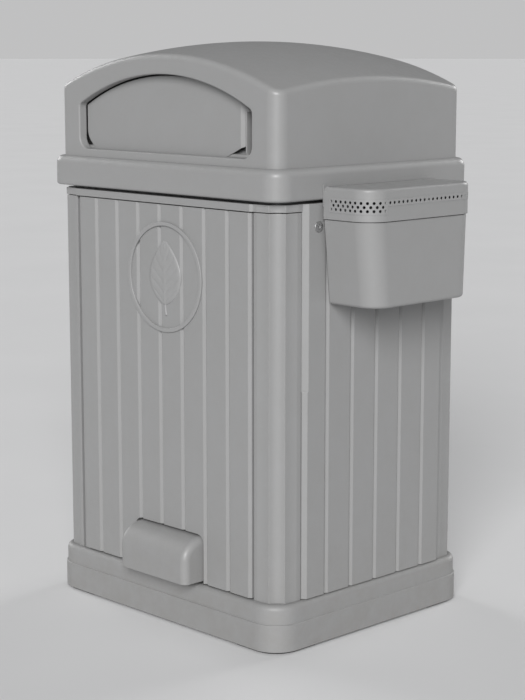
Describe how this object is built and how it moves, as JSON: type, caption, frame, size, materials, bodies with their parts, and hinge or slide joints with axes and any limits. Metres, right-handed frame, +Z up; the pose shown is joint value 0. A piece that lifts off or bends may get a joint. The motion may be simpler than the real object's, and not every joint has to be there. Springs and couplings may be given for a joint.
{
  "type": "litter bin with ash box",
  "caption": "Hooded square litter bin with a ribbed hinged door, foot pedal, tipping chute in the hood opening and a lidded ash box on the right side.",
  "frame": {"origin": "centre of the anchor bolt pattern, in the plinth's middle, on the ground", "axes": "+Z up, -Y out of the door front, +X towards the side with the ash box"},
  "size_m": [0.8608, 0.645, 1.2499],
  "materials": {
    "moulded_polymer": "satin, fine moulded grain",
    "coated_steel": "grey powder coat",
    "stainless_steel": "brushed",
    "zinc_steel": "zinc plated",
    "galvanised_sheet": "galvanised",
    "black_polymer": "matt",
    "rubber": "matt"
  },
  "bodies": {
    "bin": {"foot_pads": "rubber", "base_plinth": "moulded_polymer", "floor_pan": "galvanised_sheet", "post_front_right": "moulded_polymer", "post_front_left": "moulded_polymer", "post_back_right": "moulded_polymer", "post_back_left": "moulded_polymer", "side_panel_right": "moulded_polymer", "side_panel_left": "moulded_polymer", "back_panel": "moulded_polymer", "top_frame": "moulded_polymer", "collar": "moulded_polymer", "hood": "moulded_polymer", "hood_screws": "zinc_steel", "collar_screws": "zinc_steel", "door_pivot_pins": "zinc_steel", "lock_barrel": "stainless_steel", "chute_bearings": "black_polymer", "shaft_brackets": "zinc_steel", "rod_guides": "black_polymer", "liner": "galvanised_sheet", "liner_handles": "zinc_steel", "ash_back_plate": "coated_steel", "ash_screws": "zinc_steel", "ash_tub": "moulded_polymer", "ash_tin": "galvanised_sheet", "ash_hinge_pin": "zinc_steel"},
    "door": {"door": "moulded_polymer", "door_keeper": "zinc_steel", "roundel_ring": "moulded_polymer", "leaf_emblem": "moulded_polymer"},
    "lock": {"lock_cam": "zinc_steel"},
    "chute": {"chute": "moulded_polymer", "closing_weight": "zinc_steel"},
    "pedal": {"pedal": "moulded_polymer", "pedal_shaft": "zinc_steel"},
    "rod": {"push_rod": "zinc_steel"},
    "ash_lid": {"ash_lid": "moulded_polymer", "ash_hinge_tube": "moulded_polymer", "stub_plate": "coated_steel"}
  },
  "joints": [
    {"name": "door_hinge", "type": "hinge", "parent": "bin", "child": "door", "pos_m": [-0.264, -0.278, 0.513], "axis": [0, 0, -1], "range_deg": [0, 110]},
    {"name": "lock_turn", "type": "hinge", "parent": "bin", "child": "lock", "pos_m": [0.32, -0.178, 0.881], "axis": [1, 0, 0], "range_deg": [-90, 0]},
    {"name": "pedal_hinge", "type": "hinge", "parent": "bin", "child": "pedal", "pos_m": [0.0215, -0.284, 0.08], "axis": [1, 0, 0], "range_deg": [0, 15.33]},
    {"name": "rod_slide", "type": "slide", "parent": "bin", "child": "rod", "axis": [0, 0, 1], "range_m": [0, 0.0124]},
    {"name": "chute_hinge", "type": "hinge", "parent": "bin", "child": "chute", "pos_m": [-0.014, -0.255, 1.018], "axis": [1, 0, 0], "range_deg": [0, 40.01]},
    {"name": "ash_lid_hinge", "type": "hinge", "parent": "bin", "child": "ash_lid", "pos_m": [0.3755, -0.0065, 0.953], "axis": [0, -1, 0], "range_deg": [0, 80]}
  ],
  "couplings": [
    {"joint": "rod_slide", "follows": "pedal_hinge", "m_per_rad": 0.046276},
    {"joint": "chute_hinge", "follows": "pedal_hinge", "ratio": 2.6096}
  ]
}
